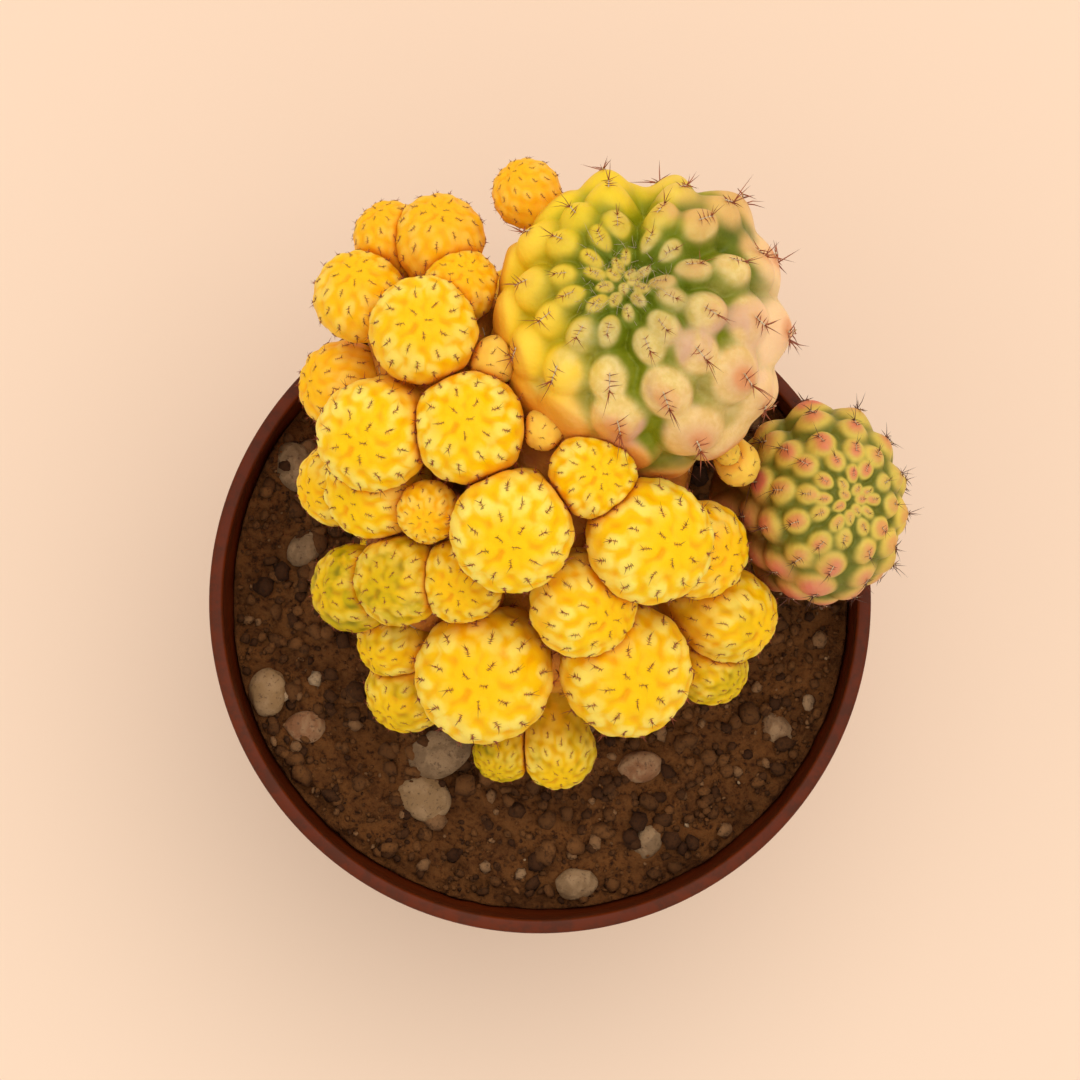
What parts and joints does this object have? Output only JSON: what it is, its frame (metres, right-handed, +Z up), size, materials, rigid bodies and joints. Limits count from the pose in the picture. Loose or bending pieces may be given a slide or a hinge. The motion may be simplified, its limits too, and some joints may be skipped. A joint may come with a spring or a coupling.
{
  "type": "potted clustering cactus",
  "caption": "Round clustering cactus in a tapered plastic nursery pot: a large variegated head, a smaller side head and a crowd of small yellow offsets over peat with pebbles.",
  "frame": {"origin": "middle of the flat underside of the pot", "axes": "+Z up out of the pot, +X towards the side head, +Y towards the large head"},
  "size_m": [0.0875, 0.0968, 0.1232],
  "materials": {
    "pot": "satin terracotta-coloured injection-moulded plastic",
    "soil": "loose dark brown peat crumbs",
    "pebbles": "worn matt stone, tan to grey",
    "spines": "dry horny red-brown spines, seen only in the visual model",
    "wool": "short pale felt on the areoles, seen only in the visual model",
    "old_flesh": "waxy older cactus skin, ochre with corky brown at the foot",
    "variegated_flesh": "waxy skin, cream, green and pink, with brown spines",
    "yellow_flesh": "waxy translucent yellow skin with short brown spines"
  },
  "bodies": {
    "root": {"pot": "pot", "soil": "soil", "stone_1": "pebbles", "stone_2": "pebbles", "stone_3": "pebbles", "stone_4": "pebbles", "stone_5": "pebbles", "stone_6": "pebbles", "stone_7": "pebbles", "stone_8": "pebbles", "stone_9": "pebbles", "stone_10": "pebbles", "mother_body": "old_flesh", "left_branch": "old_flesh", "lower_branch": "old_flesh", "big_head": "variegated_flesh", "side_head": "variegated_flesh", "pup_upper_1": "yellow_flesh", "pup_upper_2": "yellow_flesh", "pup_upper_3": "yellow_flesh", "pup_upper_4": "yellow_flesh", "pup_upper_5": "yellow_flesh", "pup_upper_6": "yellow_flesh", "pup_left_1": "yellow_flesh", "pup_left_2": "yellow_flesh", "pup_left_3": "yellow_flesh", "pup_left_4": "yellow_flesh", "pup_left_5": "yellow_flesh", "pup_lower_1": "yellow_flesh", "pup_lower_2": "yellow_flesh", "pup_lower_3": "yellow_flesh", "pup_lower_4": "yellow_flesh", "pup_lower_5": "yellow_flesh", "pup_front_1": "yellow_flesh", "pup_front_2": "yellow_flesh", "pup_front_3": "yellow_flesh", "pup_front_4": "yellow_flesh", "pup_front_5": "yellow_flesh", "pup_middle_1": "yellow_flesh", "pup_middle_2": "yellow_flesh", "pup_middle_3": "yellow_flesh", "pup_right_1": "yellow_flesh", "pup_right_2": "yellow_flesh", "pup_right_3": "yellow_flesh", "pup_right_4": "yellow_flesh", "pup_low_1": "yellow_flesh", "pup_low_2": "yellow_flesh", "pup_low_3": "yellow_flesh", "pup_low_4": "yellow_flesh", "pup_low_5": "yellow_flesh", "pup_back_1": "yellow_flesh", "pup_back_2": "yellow_flesh", "pup_back_3": "yellow_flesh", "pup_back_4": "yellow_flesh", "bud_1": "yellow_flesh", "bud_2": "yellow_flesh", "bud_3": "yellow_flesh", "bud_4": "yellow_flesh"}
  },
  "joints": []
}
